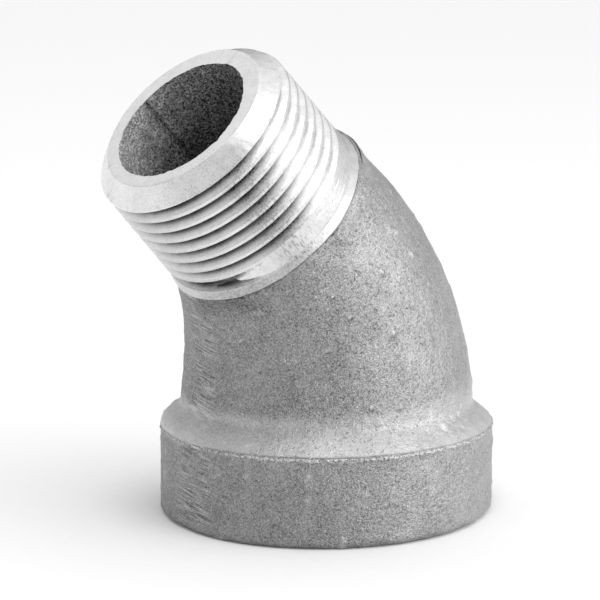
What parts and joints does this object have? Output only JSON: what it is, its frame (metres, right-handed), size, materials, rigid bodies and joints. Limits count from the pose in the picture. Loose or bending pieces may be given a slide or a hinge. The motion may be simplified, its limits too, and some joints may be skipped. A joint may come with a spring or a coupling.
{
  "type": "pipe elbow",
  "caption": "Cast 45 degree street elbow with a banded female taper-threaded socket at the base and a male taper-threaded end on the raised branch.",
  "frame": {"origin": "centre of the socket's mouth face, which the elbow stands on", "axes": "+Z along the socket's axis into the fitting; the branch rises at 45 degrees towards -X in the XZ plane"},
  "size_m": [0.0531, 0.0432, 0.0601],
  "materials": {
    "cast_skin": "as cast, fine sandy grain, matt",
    "turned_metal": "turned, bright"
  },
  "bodies": {
    "root": {"female_thread": "turned_metal", "socket_band": "cast_skin", "bend_body": "cast_skin", "shoulder_ring": "turned_metal", "male_thread": "turned_metal"}
  },
  "joints": []
}
